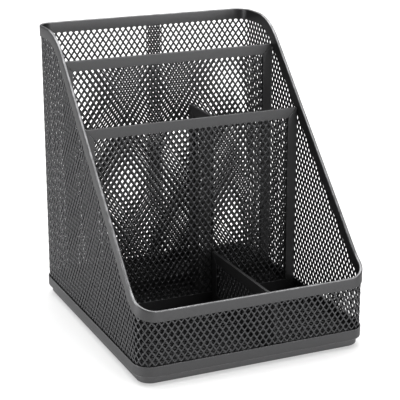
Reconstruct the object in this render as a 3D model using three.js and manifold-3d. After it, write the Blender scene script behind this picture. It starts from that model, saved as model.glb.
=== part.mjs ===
// A desktop organizer of black expanded-metal mesh that turns on a flat base.
// Millimetres, +Z up. The origin is on the surface it stands on, at the middle of the footprint.
// +X is to the right and -Y is the low front, seen by the person at the desk.
import * as THREE from 'three';
import { LoftGeometry } from 'three/addons/geometries/LoftGeometry.js';
import { mergeVertices } from 'three/addons/utils/BufferGeometryUtils.js';
import Module from 'manifold-3d';

// Outside of the organizer
const WIDTH = 152;
const DEPTH = 177;
const HEIGHT = 185.4;
const FRONT_HEIGHT = 46.9;
const CORNER_RADIUS = 11;

// Side outline: level at the back, a straight slope, level at the front
const SLOPE_TOP_SETBACK = 39.3; // from the back face to where the level top and the slope lines meet
const SLOPE_FOOT_SETBACK = 5.6; // from the front face to where the slope and the front lines meet
const TOP_ROUND = 38; // convex bend at the top of the slope
const FOOT_ROUND = 38; // concave bend at the foot of the slope

// Sheets
const STRIP = 0.6; // folded edge strips
const MESH = 0.7; // expanded metal
const MESH_GAP = 0.1; // between a strip and the mesh it grips
const SEAT = 0.05; // between pieces that rest on each other
const SIDE_GAP = 0.3; // between a divider and what it stands between
const RIM_BAND = 7; // height of the folded strip on the top edge
const CHANNEL = 2 * (STRIP + MESH_GAP) + MESH; // thickness of a strip folded over the mesh

// Pan and base tray
const PAN_SHEET = 0.6;
const PAN_HEIGHT = 7;
const TURN_GAP = 0.5; // between the turning pan and the fixed tray
const TRAY_INSET = 2.5;
const TRAY_SHEET = 0.8;
const TRAY_HOLE_GAP = 1.3; // round the hook, inside the tray's middle hole

// Feet
const FOOT_HEIGHT = 0.8;
const FOOT_RADIUS = 6;
const FOOT_INSET = 14; // from the organizer's sides to a foot's middle

// Turntable bearing
const BALL_RADIUS = 1.2;
const BALL_COUNT = 12;
const BALL_GAP = 0.02; // between a ball and a race
const TRACK_RADIUS = 34;
const GROOVE_HALF = 1.2; // from the track's middle to the groove's side
const SHOULDER_WIDTH = 1.5;
const SHOULDER_HEIGHT = 0.4;
const RACE_SHEET = 0.7;
const RACE_MARGIN = 16; // from the track out to the races' edge
const LIP_MARGIN = 7; // from the track in to the lower race's inner edge
const LIP_GAP = 0.4; // between that edge and the upper race's turned-down wall
const HOOK_REACH = 1.2; // how far the hook goes under the lower race
const HOOK_SHEET = 0.6;
const HOOK_GAP = 0.15;
const CAGE_SHEET = 1.2;
const CAGE_HALF = 2.4;
const CAGE_GAP = 0.08; // between a ball and its hole in the cage

// Rivets
const RIVET_RADIUS = 1.2;
const RIVET_GAP = 0.1;
const RIVET_HEAD_RADIUS = 2.2;
const RIVET_HEAD = 0.4;
const RIVET_MARGIN = 10; // from the track out to the rivets' circle
const RIVET_COUNT = 4;

// Dividers
const REAR_COMPARTMENT = 46.3; // from the back face to the rear divider's middle
const MIDDLE_COMPARTMENT = 37.4; // from the rear divider's middle to the middle divider's
const CROSS_X = 13.5; // middle of the cross divider and the front divider
const REAR_DIVIDER_DROP = 9.4; // from the side's edge down to the rear divider's top
const MIDDLE_DIVIDER_DROP = 6.1; // from the side's edge down to the middle divider's top
const FRONT_DIVIDER_DROP = 5; // from the front edge down to the front divider's top
const BAR = 6.5; // width of a divider's edge bars
const MITRE_GAP = 0.1;

// Facets
const CORNER_STEPS = 7;
const BEND_STEPS = 9;
const FOOT_STEPS = 3;
const ROUND_STEPS = 48;
const HOLE_STEPS = 12;
const BALL_STEPS = 12;

// Heights of the stack, from the desk up
const TRAY_Z = FOOT_HEIGHT + SEAT;
const LOWER_RACE_Z = TRAY_Z + TRAY_SHEET + SEAT;
const BALL_Z = LOWER_RACE_Z + RACE_SHEET + BALL_GAP + BALL_RADIUS;
const UPPER_RACE_Z = BALL_Z + BALL_RADIUS + BALL_GAP;
const PAN_Z = UPPER_RACE_Z + RACE_SHEET + SEAT;
const TRAY_TOP = PAN_Z - TURN_GAP;
const PAN_TOP = PAN_Z + PAN_HEIGHT;
const FLOOR_MESH_Z = PAN_Z + PAN_SHEET + SEAT;
const FLOOR_TOP = FLOOR_MESH_Z + MESH;
const WALL_Z = PAN_Z + PAN_SHEET + SIDE_GAP;
const DIVIDER_Z = FLOOR_TOP + SIDE_GAP;
const HOOK_Z = LOWER_RACE_Z - HOOK_GAP - HOOK_SHEET;

// Radii of the bearing
const RACE_RADIUS = TRACK_RADIUS + RACE_MARGIN;
const LIP_RADIUS = TRACK_RADIUS - LIP_MARGIN;
const HOOK_INNER = LIP_RADIUS - LIP_GAP - RACE_SHEET;
const RIVET_CIRCLE = TRACK_RADIUS + RIVET_MARGIN;

const wasm = await Module();
wasm.setup();

const BLACK_STEEL = { color: 0x1b1b1c, roughness: 0.5, metalness: 0.5 };
const BLACK_MESH = { color: 0x161617, roughness: 0.55, metalness: 0.5 };
const TRAY_STEEL = { color: 0x151516, roughness: 0.55, metalness: 0.5 };
const ZINC = { color: 0x9a9c9e, roughness: 0.35, metalness: 0.9 };
const BALL_STEEL = { color: 0xc9cbcd, roughness: 0.12, metalness: 1 };
const NYLON = { color: 0xdedbd0, roughness: 0.6, metalness: 0 };
const RUBBER = { color: 0x101010, roughness: 0.9, metalness: 0 };

const organizer = new THREE.Group();

function addMesh(parent, name, geometry, finish) {
  const mesh = new THREE.Mesh(geometry, new THREE.MeshStandardMaterial(finish));
  mesh.name = name;
  parent.add(mesh);
  return mesh;
}

// --- joining and cutting ---

function toSolid(geometry) {
  const bare = geometry.clone();
  bare.deleteAttribute('normal');
  bare.deleteAttribute('uv');
  const merged = mergeVertices(bare, 1e-4);
  return new wasm.Manifold(new wasm.Mesh({
    numProp: 3,
    vertProperties: merged.attributes.position.array,
    triVerts: new Uint32Array(merged.index.array),
  }));
}

function toGeometry(solid) {
  const mesh = solid.getMesh();
  const geometry = new THREE.BufferGeometry();
  geometry.setAttribute('position', new THREE.BufferAttribute(mesh.vertProperties, mesh.numProp));
  geometry.setIndex(new THREE.BufferAttribute(mesh.triVerts, 1));
  geometry.computeVertexNormals();
  return geometry;
}

function cutAway(body, cutters) {
  let solid = toSolid(body);
  for (const cutter of cutters) {
    solid = solid.subtract(toSolid(cutter));
  }
  return toGeometry(solid);
}

// --- the organizer's plan, a rectangle with round corners, in stations round its edge ---
// A station holds a point of the outer edge, the way inwards, and s, the length along the wall
// counted as -y on the straight sides and carried on round the corners.

function cornerStations(side, front) {
  const centre = new THREE.Vector2(
    side * (WIDTH / 2 - CORNER_RADIUS),
    (front ? -1 : 1) * (DEPTH / 2 - CORNER_RADIUS),
  );
  const stations = [];
  for (let i = 0; i <= CORNER_STEPS; i += 1) {
    const turn = (i / CORNER_STEPS) * (Math.PI / 2); // 0 at the side, a quarter turn at front or back
    const inward = new THREE.Vector2(-side * Math.cos(turn), (front ? 1 : -1) * Math.sin(turn));
    const along = DEPTH / 2 - CORNER_RADIUS + CORNER_RADIUS * turn;
    stations.push({
      point: centre.clone().addScaledVector(inward, -CORNER_RADIUS),
      inward,
      s: front ? along : -along,
    });
  }
  return stations;
}

function sideStation(side, s) {
  return {
    point: new THREE.Vector2(side * WIDTH / 2, -s),
    inward: new THREE.Vector2(-side, 0),
    s,
  };
}

// Stations of one half, from the middle of the back to the middle of the front.
function halfStations(side) {
  return [
    ...cornerStations(side, false).reverse(),
    ...slopeBreaks().map((s) => sideStation(side, s)),
    ...cornerStations(side, true),
  ];
}

// The whole edge, anticlockwise seen from above: back, left, front, right.
function planStations() {
  return [...halfStations(-1), ...halfStations(1).reverse()];
}

function planPoint(station, inset) {
  return station.point.clone().addScaledVector(station.inward, inset);
}

function planPlate(inset, low, high) {
  const corners = [
    ...cornerStations(-1, false).reverse(),
    ...cornerStations(-1, true),
    ...cornerStations(1, true).reverse(),
    ...cornerStations(1, false),
  ];
  const shape = new THREE.Shape(corners.map((station) => planPoint(station, inset)));
  const plate = new THREE.ExtrudeGeometry(shape, { depth: high - low, bevelEnabled: false });
  return plate.translate(0, 0, low);
}

// --- the top edge's outline on the unrolled wall, or a line drawn a given distance inside it ---

const SLOPE_START = -(DEPTH / 2 - SLOPE_TOP_SETBACK);
const SLOPE_END = DEPTH / 2 - SLOPE_FOOT_SETBACK;
const SLOPE_ANGLE = Math.atan2(HEIGHT - FRONT_HEIGHT, SLOPE_END - SLOPE_START);
const HALF_TANGENT = Math.tan(SLOPE_ANGLE / 2);

function edgeBends(drop) {
  const topRadius = TOP_ROUND - drop;
  const footRadius = FOOT_ROUND + drop;
  const topMeet = SLOPE_START - drop * HALF_TANGENT;
  const footMeet = SLOPE_END - drop * HALF_TANGENT;
  return {
    topRadius,
    footRadius,
    topMeet,
    topFrom: topMeet - topRadius * HALF_TANGENT,
    topTo: topMeet + topRadius * HALF_TANGENT * Math.cos(SLOPE_ANGLE),
    footFrom: footMeet - footRadius * HALF_TANGENT * Math.cos(SLOPE_ANGLE),
    footTo: footMeet + footRadius * HALF_TANGENT,
  };
}

function edgeHeight(s, drop) {
  const bends = edgeBends(drop);
  if (s <= bends.topFrom) {
    return HEIGHT - drop;
  }
  if (s < bends.topTo) {
    return HEIGHT - TOP_ROUND + Math.sqrt(bends.topRadius ** 2 - (s - bends.topFrom) ** 2);
  }
  if (s < bends.footFrom) {
    return HEIGHT - drop - (s - bends.topMeet) * Math.tan(SLOPE_ANGLE);
  }
  if (s < bends.footTo) {
    return FRONT_HEIGHT + FOOT_ROUND - Math.sqrt(bends.footRadius ** 2 - (bends.footTo - s) ** 2);
  }
  return FRONT_HEIGHT - drop;
}

// Places on a straight side where the outline bends, for its upper and lower lines together.
function slopeBreaks() {
  const upper = edgeBends(0);
  const lower = edgeBends(RIM_BAND);
  const topFrom = upper.topFrom;
  const topTo = Math.max(upper.topTo, lower.topTo);
  const footFrom = Math.min(upper.footFrom, lower.footFrom);
  const straightEnd = DEPTH / 2 - CORNER_RADIUS;
  const breaks = [];
  for (let i = 0; i <= BEND_STEPS; i += 1) {
    breaks.push(THREE.MathUtils.lerp(topFrom, topTo, i / BEND_STEPS));
  }
  for (let i = 0; i < FOOT_STEPS; i += 1) {
    breaks.push(THREE.MathUtils.lerp(footFrom, straightEnd, i / FOOT_STEPS));
  }
  return breaks.filter((s) => Math.abs(s) < straightEnd - MESH);
}

// A closed ring round the plan. The section is a list of [inset, height function of s].
function planRing(section) {
  const stations = planStations();
  const rings = [...stations, stations[0]].map((station) => section.map(([inset, heightAt]) => {
    const place = planPoint(station, inset);
    return new THREE.Vector3(place.x, place.y, heightAt(station.s));
  }));
  return new LoftGeometry(rings);
}

function makeWallMesh() {
  const outer = STRIP + MESH_GAP;
  const inner = outer + MESH;
  const top = (s) => edgeHeight(s, outer);
  const bottom = () => WALL_Z;
  return planRing([[outer, bottom], [inner, bottom], [inner, top], [outer, top]]);
}

function makeTopRim() {
  const edge = (s) => edgeHeight(s, 0);
  const fold = (s) => edgeHeight(s, STRIP);
  const hem = (s) => edgeHeight(s, RIM_BAND);
  return planRing([
    [0, hem],
    [STRIP, hem],
    [STRIP, fold],
    [CHANNEL - STRIP, fold],
    [CHANNEL - STRIP, hem],
    [CHANNEL, hem],
    [CHANNEL, edge],
    [0, edge],
  ]);
}

// --- rivets and their holes ---

function rivetPlaces(firstAngle) {
  const places = [];
  for (let i = 0; i < RIVET_COUNT; i += 1) {
    const angle = firstAngle + (i / RIVET_COUNT) * 2 * Math.PI;
    places.push(new THREE.Vector2(Math.cos(angle), Math.sin(angle)).multiplyScalar(RIVET_CIRCLE));
  }
  return places;
}

const LOWER_RIVETS = rivetPlaces(0);
const UPPER_RIVETS = rivetPlaces(Math.PI / RIVET_COUNT);

function drill(place, radius, low, high, steps = HOLE_STEPS) {
  const hole = new THREE.CylinderGeometry(radius, radius, high - low, steps);
  return hole.rotateX(Math.PI / 2).translate(place.x, place.y, (low + high) / 2);
}

function rivetHoles(places, low, high) {
  return places.map((place) => drill(place, RIVET_RADIUS + RIVET_GAP, low, high));
}

function turned(profile, steps) {
  const points = profile.map(([radius, height]) => new THREE.Vector2(radius, height));
  return new THREE.LatheGeometry(points, steps).rotateX(Math.PI / 2);
}

// A rivet gripping the sheets between two heights, with a head on each side.
function makeRivet(place, low, high) {
  const bottom = low - SEAT;
  const top = high + SEAT;
  const rivet = turned([
    [0, bottom - RIVET_HEAD],
    [RIVET_HEAD_RADIUS, bottom - RIVET_HEAD],
    [RIVET_HEAD_RADIUS, bottom],
    [RIVET_RADIUS, bottom],
    [RIVET_RADIUS, top],
    [RIVET_HEAD_RADIUS, top],
    [RIVET_HEAD_RADIUS, top + RIVET_HEAD],
    [0, top + RIVET_HEAD],
  ], HOLE_STEPS);
  return rivet.translate(place.x, place.y, 0);
}

// --- base tray, pan and floor ---

function makeTray() {
  const holeRadius = LIP_RADIUS + HOOK_REACH + TRAY_HOLE_GAP;
  const middle = new THREE.Vector2(0, 0);
  return cutAway(planPlate(TRAY_INSET, TRAY_Z, TRAY_TOP), [
    planPlate(TRAY_INSET + TRAY_SHEET, TRAY_Z + TRAY_SHEET, TRAY_TOP + TRAY_SHEET),
    drill(middle, holeRadius, TRAY_Z - TRAY_SHEET, TRAY_TOP, ROUND_STEPS),
    ...rivetHoles(LOWER_RIVETS, TRAY_Z - TRAY_SHEET, TRAY_TOP),
  ]);
}

function makePan() {
  return cutAway(planPlate(0, PAN_Z, PAN_TOP), [
    planPlate(PAN_SHEET, PAN_Z + PAN_SHEET, PAN_TOP + PAN_SHEET),
    ...rivetHoles(UPPER_RIVETS, PAN_Z - PAN_SHEET, PAN_TOP),
  ]);
}

function makeFloorMesh() {
  const inset = CHANNEL - STRIP + SIDE_GAP;
  return cutAway(planPlate(inset, FLOOR_MESH_Z, FLOOR_TOP), [
    ...rivetHoles(UPPER_RIVETS, PAN_Z, FLOOR_TOP + PAN_SHEET),
  ]);
}

// --- turntable bearing ---

// The two shoulders of a groove, from the outer one inwards. lift is up or down from the plate.
function grooveProfile(plate, lift) {
  const outer = TRACK_RADIUS + GROOVE_HALF;
  const inner = TRACK_RADIUS - GROOVE_HALF;
  return [
    [outer + SHOULDER_WIDTH, plate],
    [outer + SHOULDER_WIDTH, plate + lift],
    [outer, plate + lift],
    [outer, plate],
    [inner, plate],
    [inner, plate + lift],
    [inner - SHOULDER_WIDTH, plate + lift],
    [inner - SHOULDER_WIDTH, plate],
  ];
}

function makeLowerRace() {
  const top = LOWER_RACE_Z + RACE_SHEET;
  const ring = turned([
    [LIP_RADIUS, LOWER_RACE_Z],
    [RACE_RADIUS, LOWER_RACE_Z],
    [RACE_RADIUS, top],
    ...grooveProfile(top, SHOULDER_HEIGHT),
    [LIP_RADIUS, top],
    [LIP_RADIUS, LOWER_RACE_Z],
  ], ROUND_STEPS);
  return cutAway(ring, rivetHoles(LOWER_RIVETS, TRAY_Z, BALL_Z));
}

function makeUpperRace() {
  const top = UPPER_RACE_Z + RACE_SHEET;
  const ring = turned([
    [HOOK_INNER, HOOK_Z],
    [LIP_RADIUS + HOOK_REACH, HOOK_Z],
    [LIP_RADIUS + HOOK_REACH, HOOK_Z + HOOK_SHEET],
    [HOOK_INNER + RACE_SHEET, HOOK_Z + HOOK_SHEET],
    [HOOK_INNER + RACE_SHEET, UPPER_RACE_Z],
    ...grooveProfile(UPPER_RACE_Z, -SHOULDER_HEIGHT).reverse(),
    [RACE_RADIUS, UPPER_RACE_Z],
    [RACE_RADIUS, top],
    [HOOK_INNER, top],
    [HOOK_INNER, HOOK_Z],
  ], ROUND_STEPS);
  return cutAway(ring, rivetHoles(UPPER_RIVETS, BALL_Z, PAN_TOP));
}

function ballPlaces() {
  const places = [];
  for (let i = 0; i < BALL_COUNT; i += 1) {
    const angle = (i / BALL_COUNT) * 2 * Math.PI;
    places.push(new THREE.Vector2(Math.cos(angle), Math.sin(angle)).multiplyScalar(TRACK_RADIUS));
  }
  return places;
}

function makeBallCage() {
  const low = BALL_Z - CAGE_SHEET / 2;
  const high = BALL_Z + CAGE_SHEET / 2;
  const ring = turned([
    [TRACK_RADIUS - CAGE_HALF, low],
    [TRACK_RADIUS + CAGE_HALF, low],
    [TRACK_RADIUS + CAGE_HALF, high],
    [TRACK_RADIUS - CAGE_HALF, high],
    [TRACK_RADIUS - CAGE_HALF, low],
  ], ROUND_STEPS);
  const holes = ballPlaces().map((place) => (
    drill(place, BALL_RADIUS + CAGE_GAP, low - CAGE_SHEET, high + CAGE_SHEET)
  ));
  return cutAway(ring, holes);
}

function makeFoot(x, y) {
  const foot = new THREE.CylinderGeometry(FOOT_RADIUS, FOOT_RADIUS, FOOT_HEIGHT, ROUND_STEPS / 2);
  return foot.rotateX(Math.PI / 2).translate(x, y, FOOT_HEIGHT / 2);
}

// --- dividers ---

// One mitred bar, a strip folded over the panel's edge. The bar runs along an edge of the given
// length, and place puts (along the edge, in from the edge, across) into the panel's own axes.
function makeBar(length, place) {
  const half = CHANNEL / 2;
  const section = [
    [0, -half],
    [BAR, -half],
    [BAR, STRIP - half],
    [STRIP, STRIP - half],
    [STRIP, half - STRIP],
    [BAR, half - STRIP],
    [BAR, half],
    [0, half],
  ];
  const start = section.map(([inset, across]) => place(inset + MITRE_GAP, inset, across));
  const end = section.map(([inset, across]) => place(length - inset - MITRE_GAP, inset, across));
  return new LoftGeometry([start, end], { capStart: true, capEnd: true });
}

// A mesh panel in four bars, drawn upright on X and Z with its lower left corner at the origin.
function makeDivider(name, ends, width, height) {
  const divider = new THREE.Group();
  const inset = STRIP + MESH_GAP;
  const panel = new THREE.BoxGeometry(width - 2 * inset, MESH, height - 2 * inset);
  addMesh(divider, `${name}_mesh`, panel.translate(width / 2, 0, height / 2), BLACK_MESH);
  const bottom = (along, into, across) => new THREE.Vector3(along, -across, into);
  const top = (along, into, across) => new THREE.Vector3(along, across, height - into);
  const first = (along, into, across) => new THREE.Vector3(into, across, along);
  const second = (along, into, across) => new THREE.Vector3(width - into, -across, along);
  addMesh(divider, `${name}_bottom_bar`, makeBar(width, bottom), BLACK_STEEL);
  addMesh(divider, `${name}_top_bar`, makeBar(width, top), BLACK_STEEL);
  addMesh(divider, `${name}_${ends[0]}_bar`, makeBar(height, first), BLACK_STEEL);
  addMesh(divider, `${name}_${ends[1]}_bar`, makeBar(height, second), BLACK_STEEL);
  organizer.add(divider);
  return divider;
}

function addDividers() {
  const innerHalf = WIDTH / 2 - CHANNEL - SIDE_GAP;
  const rearY = DEPTH / 2 - REAR_COMPARTMENT;
  const middleY = rearY - MIDDLE_COMPARTMENT;
  const frontY = -DEPTH / 2 + CHANNEL + SIDE_GAP;
  const clear = CHANNEL / 2 + SIDE_GAP;
  const rearHeight = edgeHeight(-rearY, 0) - REAR_DIVIDER_DROP - DIVIDER_Z;
  const middleHeight = edgeHeight(-middleY, 0) - MIDDLE_DIVIDER_DROP - DIVIDER_Z;
  const frontHeight = FRONT_HEIGHT - FRONT_DIVIDER_DROP - DIVIDER_Z;
  const across = ['left', 'right'];
  const along = ['front', 'back'];

  const rear = makeDivider('rear_divider', across, 2 * innerHalf, rearHeight);
  rear.position.set(-innerHalf, rearY, DIVIDER_Z);

  const middle = makeDivider('middle_divider', across, 2 * innerHalf, middleHeight);
  middle.position.set(-innerHalf, middleY, DIVIDER_Z);

  const crossDepth = MIDDLE_COMPARTMENT - 2 * clear;
  const cross = makeDivider('cross_divider', along, crossDepth, middleHeight);
  cross.rotation.z = Math.PI / 2;
  cross.position.set(CROSS_X, middleY + clear, DIVIDER_Z);

  const frontDepth = middleY - clear - frontY;
  const front = makeDivider('front_divider', along, frontDepth, frontHeight);
  front.rotation.z = Math.PI / 2;
  front.position.set(CROSS_X, frontY, DIVIDER_Z);
}

// --- assembly ---

function addBase() {
  addMesh(organizer, 'base_tray', makeTray(), TRAY_STEEL);
  const footX = WIDTH / 2 - FOOT_INSET;
  const footY = DEPTH / 2 - FOOT_INSET;
  for (const [side, x] of [['left', -footX], ['right', footX]]) {
    for (const [end, y] of [['front', -footY], ['back', footY]]) {
      addMesh(organizer, `foot_${end}_${side}`, makeFoot(x, y), RUBBER);
    }
  }
  addMesh(organizer, 'lower_race', makeLowerRace(), ZINC);
  LOWER_RIVETS.forEach((place, i) => {
    const rivet = makeRivet(place, TRAY_Z, LOWER_RACE_Z + RACE_SHEET);
    addMesh(organizer, `lower_race_rivet_${i + 1}`, rivet, ZINC);
  });
}

function addBalls() {
  addMesh(organizer, 'ball_cage', makeBallCage(), NYLON);
  ballPlaces().forEach((place, i) => {
    const ball = new THREE.SphereGeometry(BALL_RADIUS, BALL_STEPS, BALL_STEPS / 2);
    addMesh(organizer, `ball_${i + 1}`, ball, BALL_STEEL).position.set(place.x, place.y, BALL_Z);
  });
}

function addShell() {
  addMesh(organizer, 'upper_race', makeUpperRace(), ZINC);
  UPPER_RIVETS.forEach((place, i) => {
    const rivet = makeRivet(place, UPPER_RACE_Z, FLOOR_TOP);
    addMesh(organizer, `upper_race_rivet_${i + 1}`, rivet, BLACK_STEEL);
  });
  addMesh(organizer, 'pan', makePan(), BLACK_STEEL);
  addMesh(organizer, 'floor_mesh', makeFloorMesh(), BLACK_MESH);
  addMesh(organizer, 'wall_mesh', makeWallMesh(), BLACK_MESH);
  addMesh(organizer, 'top_rim', makeTopRim(), BLACK_STEEL);
}

addBase();
addBalls();
addShell();
addDividers();

export default organizer;
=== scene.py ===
"""Looks for a desktop organizer of black expanded metal that turns on a flat base."""

import math

import bmesh
import bpy
from bpy.props import FloatProperty, FloatVectorProperty, IntProperty, PointerProperty
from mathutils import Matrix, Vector


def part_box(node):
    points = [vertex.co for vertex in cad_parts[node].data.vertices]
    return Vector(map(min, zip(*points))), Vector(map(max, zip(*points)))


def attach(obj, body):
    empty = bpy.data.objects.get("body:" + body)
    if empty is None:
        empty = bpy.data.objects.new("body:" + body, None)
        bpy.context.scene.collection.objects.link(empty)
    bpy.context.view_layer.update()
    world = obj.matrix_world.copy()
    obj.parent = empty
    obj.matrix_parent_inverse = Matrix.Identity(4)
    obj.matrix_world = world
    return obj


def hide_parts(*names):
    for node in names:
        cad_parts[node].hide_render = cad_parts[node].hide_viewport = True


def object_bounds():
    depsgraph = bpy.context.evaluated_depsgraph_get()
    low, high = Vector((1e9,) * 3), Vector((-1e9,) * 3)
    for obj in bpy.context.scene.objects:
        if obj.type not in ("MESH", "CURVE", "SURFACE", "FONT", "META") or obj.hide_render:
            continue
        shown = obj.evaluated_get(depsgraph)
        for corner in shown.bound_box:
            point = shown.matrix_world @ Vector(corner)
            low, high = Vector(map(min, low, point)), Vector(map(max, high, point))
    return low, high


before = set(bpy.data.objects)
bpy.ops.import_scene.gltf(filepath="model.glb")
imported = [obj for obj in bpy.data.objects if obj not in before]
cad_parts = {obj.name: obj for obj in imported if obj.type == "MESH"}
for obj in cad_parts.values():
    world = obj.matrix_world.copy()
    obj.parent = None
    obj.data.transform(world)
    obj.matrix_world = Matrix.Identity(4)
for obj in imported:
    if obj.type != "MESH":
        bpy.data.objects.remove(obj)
CAD_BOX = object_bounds()

bl_info = {
    "name": "Turning Desk Organizer",
    "version": (1, 0, 0),
    "blender": (4, 5, 0),
    "location": "View3D > Sidebar > Organizer",
    "description": "Expanded-metal desk organizer on a ball bearing base",
    "category": "Object",
}


# --- sizes and colours ---


def size(name, description, default):
    return FloatProperty(
        name=name, description=description, default=default, min=0.0, unit="LENGTH"
    )


def number(name, description, default, **limits):
    return FloatProperty(name=name, description=description, default=default, **limits)


def point(name, description, default):
    return FloatVectorProperty(
        name=name, description=description, default=default, size=3, subtype="TRANSLATION"
    )


def colour(name, description, default):
    return FloatVectorProperty(
        name=name, description=description, default=default, size=3, subtype="COLOR"
    )


class ShellSizes(bpy.types.PropertyGroup):
    """The wall's plan, its top edge and the strip folded over that edge."""

    corner_radius: size("Corner radius", "Outer radius of the upright corners", 0.011)
    front_height: size("Front height", "Height of the top edge at the front", 0.0469)
    top_setback: size("Top setback", "From the back to where the slope begins", 0.0393)
    foot_setback: size("Foot setback", "From the front to where the slope ends", 0.0056)
    bend_radius: size("Bend radius", "Radius of the top edge where it bends", 0.038)
    strip_sheet: size("Strip sheet", "Thickness of the folded strip", 0.0006)
    strip_depth: size("Strip depth", "Height of the folded strip", 0.007)
    strip_thickness: size("Folded thickness", "The strip and what it grips", 0.0021)
    fold_radius: size("Fold radius", "Outer radius of the strip's fold", 0.0007)
    seam_overlap: size("Seam overlap", "Width of the lap at the back", 0.0135)
    seam_place: size("Seam place", "Where the lap begins, right of the middle", 0.0003)
    seam_step: size("Seam step", "How far a lapped layer stands off the middle", 0.00028)


class MeshSizes(bpy.types.PropertyGroup):
    """Cells and strands of the expanded metal."""

    cell_width: size("Cell width", "Short way of a diamond", 0.004094)
    cell_height: size("Cell height", "Long way of a diamond", 0.0061)
    strand: size("Strand", "Width of a strand", 0.00084)
    sheet: size("Sheet", "Thickness of a strand", 0.0005)
    lift: size("Lift", "How far a strand's sides stand off the sheet", 0.0001)
    knot: size("Knot", "Extra length where four strands meet", 0.00022)


class EdgeSizes(bpy.types.PropertyGroup):
    """Rounded edges of pressed and folded pieces."""

    bar: size("Bar edge", "Edge radius of a divider's bars", 0.00018)
    pan: size("Pan edge", "Edge radius of the pan", 0.00028)
    tray: size("Tray edge", "Edge radius of the base tray", 0.00035)
    race: size("Race edge", "Edge radius of the bearing's races", 0.00012)
    rivet: size("Rivet edge", "Edge radius of a rivet's head", 0.00016)
    cage: size("Cage edge", "Edge radius of the ball cage", 0.0001)
    foot: size("Foot edge", "Edge radius of a foot", 0.0002)
    pressed: size("Pressed bend", "Radius where the pan's and the tray's sides turn up", 0.0011)
    segments: IntProperty(
        name="Segments", description="Faces across a rounded edge", default=2, min=1
    )


class FinishColours(bpy.types.PropertyGroup):
    """Colours of the finishes."""

    strip: colour("Strip coat", "Powder coat of strips and pan", (0.145, 0.145, 0.147))
    mesh: colour("Mesh coat", "Powder coat of the mesh", (0.120, 0.120, 0.123))
    # painted light: lighter than the strip coat to make up for the shade under the pan's overhang
    tray: colour("Tray coat lightened against shade", "Powder coat of the base tray", (0.170, 0.170, 0.172))
    zinc: colour("Zinc", "Plating of races and lower rivets", (0.47, 0.48, 0.50))
    ball: colour("Ball steel", "Polished bearing balls", (0.62, 0.63, 0.64))
    nylon: colour("Nylon", "Ball cage", (0.72, 0.69, 0.60))
    rubber: colour("Rubber", "Feet", (0.012, 0.012, 0.012))


class StageSettings(bpy.types.PropertyGroup):
    """Floor, light and camera."""

    floor: colour("Floor", "Colour of the floor", (0.40, 0.40, 0.40))
    room: number("Room", "Strength of the room's light", 0.05)
    backdrop: number("Backdrop", "Brightness behind", 0.63)
    glow: number("Floor glow", "Light of the floor itself", 0.43)
    paper: number("Paper", "Glow of the floor in sight", 0.353)
    key: number("Key light", "Power of the large light", 110.0, unit="POWER")
    fill: number("Fill light", "Power of the front light", 12.0, unit="POWER")
    side: number("Side light", "Power of the small light", 3.5, unit="POWER")
    exposure: number("Exposure", "Exposure of the view", 0.695)
    gamma: number("Gamma", "Gamma of the view", 0.7)
    lens: number("Lens", "Focal length in millimetres", 119.98, min=1.0)
    camera: point("Camera", "Place of the camera", (-0.33253, -0.74365, 0.33867))
    target: point("Target", "What the camera looks at", (-0.00058, -0.00605, 0.08178))


# --- working in edit mode ---

SAME_POINT = 1e-6  # points closer together than this are one point
SAME_PLANE = 1e-5  # points closer to a plane than this lie in it
FLAT_WITHIN = 0.5  # degrees: faces that bend less than this become one
ROUND_ABOVE = 35.0  # degrees: edges sharper than this are rounded
SMOOTH_BELOW = 30.0  # degrees: bends less than this are shaded smooth
SMOOTH_ALL = 180.0
EDGE_BEND = 20.0  # degrees: the least bend at the sides of a face on a rounded edge
EDGE_WIDTH = 0.0008  # the widest face that is still part of a rounded edge
FOOT_SEGMENTS = 4  # faces across the rounded bend of a pressed piece


def put_down():
    """Leaves edit mode and selects nothing."""
    active = bpy.context.view_layer.objects.active
    if active and active.mode != "OBJECT":
        bpy.ops.object.mode_set(mode="OBJECT")
    bpy.ops.object.select_all(action="DESELECT")


def take_up(piece):
    put_down()
    piece.select_set(True)
    bpy.context.view_layer.objects.active = piece


def open_mesh(piece):
    take_up(piece)
    bpy.ops.object.mode_set(mode="EDIT")
    bpy.ops.mesh.select_mode(type="VERT")
    bpy.ops.mesh.select_all(action="SELECT")


def parts_of(piece, kind):
    work = bmesh.from_edit_mesh(piece.data)
    found = {"VERT": work.verts, "EDGE": work.edges, "FACE": work.faces}[kind]
    found.ensure_lookup_table()
    return found


def pick(piece, kind, test):
    """Selects the vertices, edges or faces that pass a test, and nothing else."""
    bpy.ops.mesh.select_mode(type=kind)
    bpy.ops.mesh.select_all(action="DESELECT")
    for part in parts_of(piece, kind):
        if test(part):
            part.select_set(True)
    bmesh.update_edit_mesh(piece.data)


def apply_modifier(piece, kind, **settings):
    take_up(piece)
    modifier = piece.modifiers.new(kind.title(), kind)
    for name, value in settings.items():
        setattr(modifier, name, value)
    bpy.ops.object.modifier_apply(modifier=modifier.name)


def shift(piece, move):
    """Moves a piece's whole mesh. Its object stays at the origin."""
    open_mesh(piece)
    bpy.ops.transform.translate(value=move)
    put_down()


def quarter_turn(axis):
    bpy.ops.transform.rotate(
        value=-math.pi / 2, orient_axis=axis, center_override=(0.0, 0.0, 0.0)
    )


def smooth(piece, degrees):
    take_up(piece)
    bpy.ops.object.shade_smooth_by_angle(angle=math.radians(degrees))


def mark_edges(piece):
    """Keeps, on each face's corners, whether the face is part of a rounded edge."""
    sharp = math.radians(EDGE_BEND)
    work = bmesh.new()
    work.from_mesh(piece.data)
    layer = work.loops.layers.float.new("edge")
    for face in work.faces:
        bends = [e for e in face.edges if len(e.link_faces) == 2 and e.calc_face_angle() > sharp]
        width = face.calc_area() / max(e.calc_length() for e in face.edges)
        for corner in face.loops:
            corner[layer] = 1.0 if len(bends) >= 2 and width < EDGE_WIDTH else 0.0
    work.to_mesh(piece.data)
    work.free()


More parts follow.
